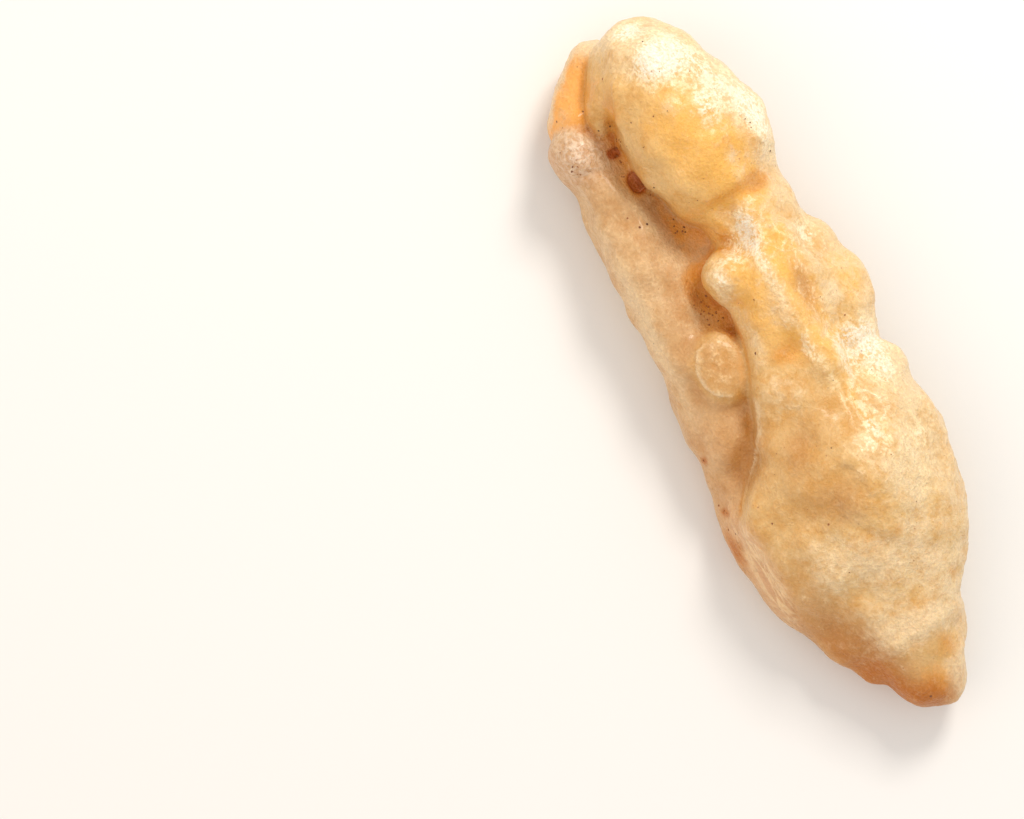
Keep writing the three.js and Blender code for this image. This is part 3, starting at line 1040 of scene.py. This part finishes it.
    rosy: tuple[Press, ...] = (
        Press((35, -20), (18, 3), 1, 4), Press((6, -18), (12, 3), 0.35), Press((-52, -10), (5, 2.5), 0.5),
        Press((69, 5.4), (6, 2.6), 0.75, -35), Press((60.2, 3), (1.8, 5), 0.35, 4),
        Press((73.4, 0.6), (2, 4.4), 0.4), Press((60, 10.5), (7, 1.8), 0.5, -20),
    )
    # Painted highlight: bright lines along the knob's lower edge and the crust's overhanging edge.
    painted_lit_rims: tuple[Fold, ...] = (
        Fold(KNOB_EDGE[3:], 0.3, 0.7, 1),
        Fold(((1.5, -6.9), (4, -7), (8, -8.4), (11, -10), (14, -11.8), (16.5, -14.6)), 0.3, 0.7, 0.8),
    )
    # Painted shadow under the crust's overhanging edge right of the knob, and patches that deepen or lessen
    # the painted shade.
    painted_pocket_shade: tuple[Press | Fold, ...] = (
        Fold(((20.5, -17.6), (16.5, -15), (14, -12.2), (11, -10.4), (7.6, -8.8), (3, -7.6)), 0.4, 4.2, 0.3),
        Press((12.5, -11.8), (9, 2.4), -0.25, -36), Press((20.5, -17.9), (4, 0.8), 0.45, -38),
        Press((-40, -5.8), (8, 2.4), -0.4, 8), Press((-31, -2), (4, 3), -0.3, 30),
    )

    def one_skin(self) -> bpy.types.Object:
        """Wraps every body and joins the wraps into one closed skin.

        Returns:
            The crust's object, in millimetres, with its underside drawn in.
        """
        corners: list[Array] = []
        faces: list[tuple[int, ...]] = []
        start = 0
        for body in self.form.bodies:
            skin, skin_faces = body.skin(self.form.facet)
            corners.append(skin)
            faces += [tuple(start + i for i in face) for face in skin_faces]
            start += len(skin)
            LOG.info("%s: %d corners", body.name, len(skin))
        made = mesh_object("fried_fillet_crust", self.form.drawn_in(np.concatenate(corners), False), faces)
        blend = made.modifiers.new("one_skin", "REMESH")
        blend.mode = "VOXEL"
        blend.voxel_size = self.form.voxel
        settled(made)
        return made

    def build(self) -> bpy.types.Object:
        """Builds the whole fillet.

        Returns:
            The finished object.
        """
        form = self.form
        made = self.one_skin()
        mesh = made.data
        points = form.drawn_in(corners_of(mesh), True)
        for _ in range(form.settle_rounds):
            out = form.outward(points)
            gap = form.distance(points)
            points = points - out * np.clip(gap, -1.0, 1.0)[:, None]
        out = form.outward(points, form.broad_reach)
        middle = form.centre(points)
        self.middle = (float(middle[0]), float(middle[1]))
        for mark, values in self.marks(points, out).items():
            layer = mesh.attributes.new(mark.value, "FLOAT", "POINT")
            layer.data.foreach_set("value", values.astype(np.float32))
        lift = cover_of(points, form.presses) + cover_of(points, form.folds)
        points = points + out * (lift * smooth(out[:, 2], 0.05, 0.5))[:, None]
        mesh.vertices.foreach_set("co", ((points - middle) * MM).ravel())
        self.relief.raise_on(made, self.finish.make())
        points = corners_of(made.data)
        points[:, 2] = np.maximum(points[:, 2], 0.0)
        made.data.vertices.foreach_set("co", points.ravel())
        made.data.update()
        made.data.shade_smooth()
        LOG.info("fillet: %d corners, %d faces", len(made.data.vertices), len(made.data.polygons))
        return made

    def marks(self, points: Array, out: Array) -> dict[Mark, Array]:
        """Where each finish of the batter is, and where shade and light are painted.

        Args:
            points: The skin's corners.
            out: Their outward directions.

        Returns:
            One share a corner for each mark.
        """
        form = self.form
        crust, strip, knob, flap = (body.distance(points) for body in form.bodies)
        others = np.minimum(np.minimum(crust, knob + 1.0), flap)
        # Painted shade: darker where nearby batter closes the skin in.
        open_air, tight = (form.distance(points + out * reach) / reach for reach in self.painted_crease_shade_reaches)
        painted_crease_shade = np.clip(1.0 - 0.65 * open_air - 0.35 * tight, 0.0, 1.0)
        x, y, _ = points.T
        along, across = (x - self.nub_at[0]) / self.nub_half[0], (y - self.nub_at[1]) / self.nub_half[1]
        nub = np.exp(-(along**2 + across**2)) * (strip < others + 1.0)
        pit = np.min([lobe.distance(points) for lobe in form.pits], axis=0)
        on_flap = smooth(np.minimum(crust, strip) - flap, -0.8, 0.8)
        # Painted light: the flap's outer edge made paler, as if lit through.
        painted_edge_glow = on_flap * smooth(-0.7 * (out[:, 0] + out[:, 1]), 0.65, 1.0)
        lip = smooth(strip - crust, 0.1, 0.9) * (1.0 - smooth(strip, 2.5, 5.0))
        # The painted shade is weaker under the crust's lip and from x = -2 onward.
        painted_crease_shade = painted_crease_shade * (1.0 - 0.5 * lip) * (1.0 - 0.6 * smooth(x, -2.0, 4.0))
        amber = cover_of(points, self.ambers)
        # Pale patches, plus painted light: the flank facing +Y, the flap's outer edge and bright rim lines
        # are made paler.
        cream_and_painted_light = cover_of(points, self.creamy) + 0.48 * smooth(out[:, 1], 0.1, 0.8)
        cream_and_painted_light = cream_and_painted_light + 0.7 * painted_edge_glow - 0.6 * amber + cover_of(points, self.painted_lit_rims)
        return {
            Mark.FROST: cover_of(points, self.frosted) * smooth(out[:, 2], -0.2, 0.4),
            Mark.CREAM_AND_PAINTED_LIGHT: np.maximum(cream_and_painted_light, 0.0),
            Mark.AMBER: amber,
            Mark.HONEY: cover_of(points, self.honeyed),
            Mark.TOAST_AND_SHADE: cover_of(points, self.toast_and_shade_patches),
            Mark.ROSE: cover_of(points, self.rosy),
            Mark.PAINTED_CREASE_SHADE: np.maximum(painted_crease_shade + cover_of(points, self.painted_pocket_shade), 0.0),
            Mark.STRIP: smooth(others - strip, -0.8, 0.8),
            Mark.NUB: nub,
            Mark.TOE: cover_of(points, self.toes),
            Mark.FLAP: on_flap,
            Mark.PIT: 1.0 - smooth(pit, -0.2, 0.8),
        }


@dataclass(frozen=True)
class Specks:
    """Dark grains of fried batter that lie half sunk in the skin, all in one piece, in millimetres.

    Args:
        small: Half size of the smallest grain.
        large: Half size of the largest.
        stray: Half size of the largest stray one.
        around: Corners of a grain's rings.
        strays: How many lie anywhere.
        rings: Width and height of each ring of a grain of size 1.
        ends: Heights of its foot and tip.
        clusters: Patches, and how many grains lie in each.
    """

    finish: SpeckFinish = field(default_factory=SpeckFinish)
    seed: int = 11
    small: float = 0.1
    large: float = 0.32
    stray: float = 0.17
    around: int = 7
    strays: int = 42
    rings: tuple[Spot, Spot] = ((1.0, -0.15), (0.72, 0.32))
    ends: Spot = (-0.5, 0.46)
    places: tuple[Spot, ...] = (
        (-54.5, -7), (-53, -7.8), (-57.5, -9.5), (-62.3, -10.5), (-63, -15.8), (-65.8, -4.5), (-68.5, 5.5),
        (-55.5, -3.7), (-54.5, 0.5), (-47.3, -9.2), (-42.5, -5.2), (-41.8, -6), (-33.2, -3), (-32.2, -3.2),
        (-34.2, -4.7), (-33, -4.6), (-36.9, -9.4), (-37, -11), (-39.7, -12.3), (-38.6, 18.4),
        (-53.5, -17.3), (-19, -5.3), (-18.6, -8.4), (-16.6, -7.2), (-15.2, -5.2), (-13.8, -4.4),
        (-13.7, -5.5), (-13.8, -7.5), (-18.5, -6.8), (-17, -6), (-14.2, 1.8), (-3.5, 16.6), (-4.8, -2.5),
        (31, -5.2), (26.2, -14.6), (9.5, -20.5), (20.3, -21.3), (24, -22.3), (71, -2),
    )
    clusters: tuple[tuple[Press, int], ...] = (
        (Press((-53, -7.4), (4.5, 1.2), 0, -16), 12), (Press((-16.5, -6.6), (3.6, 2.2)), 14),
        (Press((-33.5, -4), (3, 1.2)), 5), (Press((-45, 16.6), (5, 0.8)), 3),
        (Press((-54, -17), (4, 1.4)), 9), (Press((20, -21.6), (7, 0.6)), 6),
    )

    def spots(self) -> list[Spot]:
        """Where the grains lie, the scattered ones included.

        Returns:
            One place a grain.
        """
        random = np.random.default_rng(self.seed)
        found = list(self.places)
        for patch, count in self.clusters:
            along, across = random.normal(0.0, 0.5, (2, count)) * np.array(patch.half)[:, None]
            dx, dy = turned(along, across, -patch.turn)
            found += list(zip(patch.at[0] + dx, patch.at[1] + dy))
        found += list(zip(random.uniform(-70, 68, self.strays), random.uniform(-20, 22, self.strays)))
        return found

    def grain(self, ragged: Array, stretch: float) -> Array:
        """One grain of size 1 about its own middle.

        Args:
            ragged: How far each corner of its two rings stands out.
            stretch: Its width over its length.

        Returns:
            Its corners: foot, lower ring, upper ring and tip.
        """
        angles = np.arange(self.around) * (2.0 * math.pi / self.around)
        rows = []
        for (wide, high), row in zip(self.rings, ragged):
            across = np.sin(angles) * wide * row * stretch
            rows.append(np.stack([np.cos(angles) * wide * row, across, high + 0 * angles], 1))
        foot, tip = self.ends
        return np.concatenate([[[0, 0, foot]], *rows, [[0, 0, tip]]])

    def build(self, crust: bpy.types.Object, middle: Spot) -> bpy.types.Object:
        """Lays the grains on the crust.

        Args:
            crust: The finished crust.
            middle: The middle of the fillet's outline, in the form's own millimetres.

        Returns:
            The grains as one object.
        """
        random = np.random.default_rng(self.seed + 1)
        tree = BVHTree.FromObject(crust, bpy.context.evaluated_depsgraph_get())
        corners: list[Array] = []
        faces: list[tuple[int, ...]] = []
        spots = self.spots()
        wild = len(spots) - self.strays
        for number, (x, y) in enumerate(spots):
            above = Vector(((x - middle[0]) * MM, (y - middle[1]) * MM, 0.1))
            hit, normal, _, _ = tree.ray_cast(above, Vector((0, 0, -1)))
            marked = number < len(self.places)
            most = self.stray if number >= wild else self.large
            size = random.uniform(0.7, 1.0) * self.large if marked else random.uniform(self.small, most)
            stretch = random.uniform(0.45, 1.0)
            ragged = random.uniform(0.65, 1.2, (2, self.around))
            if hit is None:
                continue
            spin = Matrix.Rotation(random.uniform(0, 6.28), 3, "Z")
            turn = normal.to_track_quat("Z", "Y").to_matrix() @ spin
            start = sum(len(part) for part in corners)
            corners.append(self.grain(ragged, stretch) * size * MM @ np.array(turn).T + np.array(hit))
            low, high, last = start + 1, start + 1 + self.around, start + 1 + 2 * self.around
            for i in range(self.around):
                k = (i + 1) % self.around
                faces.append((start, low + k, low + i))
                faces.append((low + i, low + k, high + k, high + i))
                faces.append((high + i, high + k, last))
        made = mesh_object("dark_specks", np.concatenate(corners), faces)
        made.data.materials.append(self.finish.make())
        made.data.shade_smooth()
        LOG.info("specks: %d grains", len(corners))
        return made


@dataclass(frozen=True)
class SoftLight:
    """A soft square light that looks at the fillet: place and side in metres, power in watts."""

    name: str
    at: Place
    side: float
    power: float
    colour: str

    def hang(self) -> None:
        """Hangs the light."""
        lamp = bpy.data.lights.new(self.name, "AREA")
        lamp.shape = "SQUARE"
        lamp.size = self.side
        lamp.energy = self.power
        lamp.color = tone(self.colour)[:3]
        made = bpy.data.objects.new(self.name, lamp)
        made.location = self.at
        made.rotation_euler = Vector(self.at).to_track_quat("Z", "Y").to_euler()
        bpy.context.scene.collection.objects.link(made)


@dataclass(frozen=True)
class Studio:
    """A pale floor, soft light from the far right of the picture, and a camera looking straight down.

    Args:
        aim: Where the camera looks, in the form's own millimetres.
        turn: Turn of the picture in degrees.
        frame_width: Width of the picture at the height of the plane.
        floor_half: Half the floor's side in metres.
        room: Strength of the light from all round.
    """

    aim: Spot = (-16.7, -49.5)
    turn: float = 62.83
    lens: float = 135.0
    frame_width: float = 201.2
    plane: float = 14.0
    floor_half: float = 2.0
    lights: tuple[SoftLight, ...] = (
        SoftLight("key", (-0.30, 0.36, 0.46), 0.18, 2.4, "fff8ee"),
        SoftLight("fill", (-0.1, -0.62, 0.55), 0.7, 1.6, "ffd4a0"),
    )
    room: float = 0.79

    def floor(self) -> None:
        """Lays the floor."""
        half = self.floor_half
        corners = np.array([(-half, -half, 0), (half, -half, 0), (half, half, 0), (-half, half, 0)])
        made = mesh_object("floor", corners, [(0, 1, 2, 3)])
        made.data.materials.append(FloorFinish().make())

    def build(self, middle: Spot) -> None:
        """Sets up floor, lights and camera.

        Args:
            middle: The middle of the fillet's outline, in the form's own millimetres.
        """
        self.floor()
        for light in self.lights:
            light.hang()
        world = bpy.data.worlds.new("soft_room")
        world.use_nodes = True
        background = world.node_tree.nodes["Background"]
        background.inputs["Color"].default_value = tone("ffffff")
        background.inputs["Strength"].default_value = self.room
        scene = bpy.context.scene
        scene.world = world
        scene.view_settings.view_transform = "Standard"
        camera = bpy.data.cameras.new("camera")
        camera.lens = self.lens
        camera.sensor_width = SENSOR_WIDTH
        away = self.frame_width * self.lens / SENSOR_WIDTH
        spot = Vector((self.aim[0] - middle[0], self.aim[1] - middle[1], self.plane + away)) * MM
        made = bpy.data.objects.new("camera", camera)
        made.matrix_world = Matrix.Translation(spot) @ Matrix.Rotation(math.radians(self.turn), 4, "Z")
        scene.collection.objects.link(made)
        scene.camera = made


def main() -> None:
    """Builds the fillet and its studio."""
    logging.basicConfig(level=logging.INFO, format="%(name)s %(message)s")
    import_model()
    fillet = FriedFillet()
    crust = fillet.build()
    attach(crust, "root")
    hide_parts("fried_fillet")
    LOG.info("crust in place")
    specks = Specks().build(crust, fillet.middle)
    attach(specks, "root")
    LOG.info("specks in place")
    Studio().build(fillet.middle)
    LOG.info("studio in place")


if __name__ == "__main__":
    main()
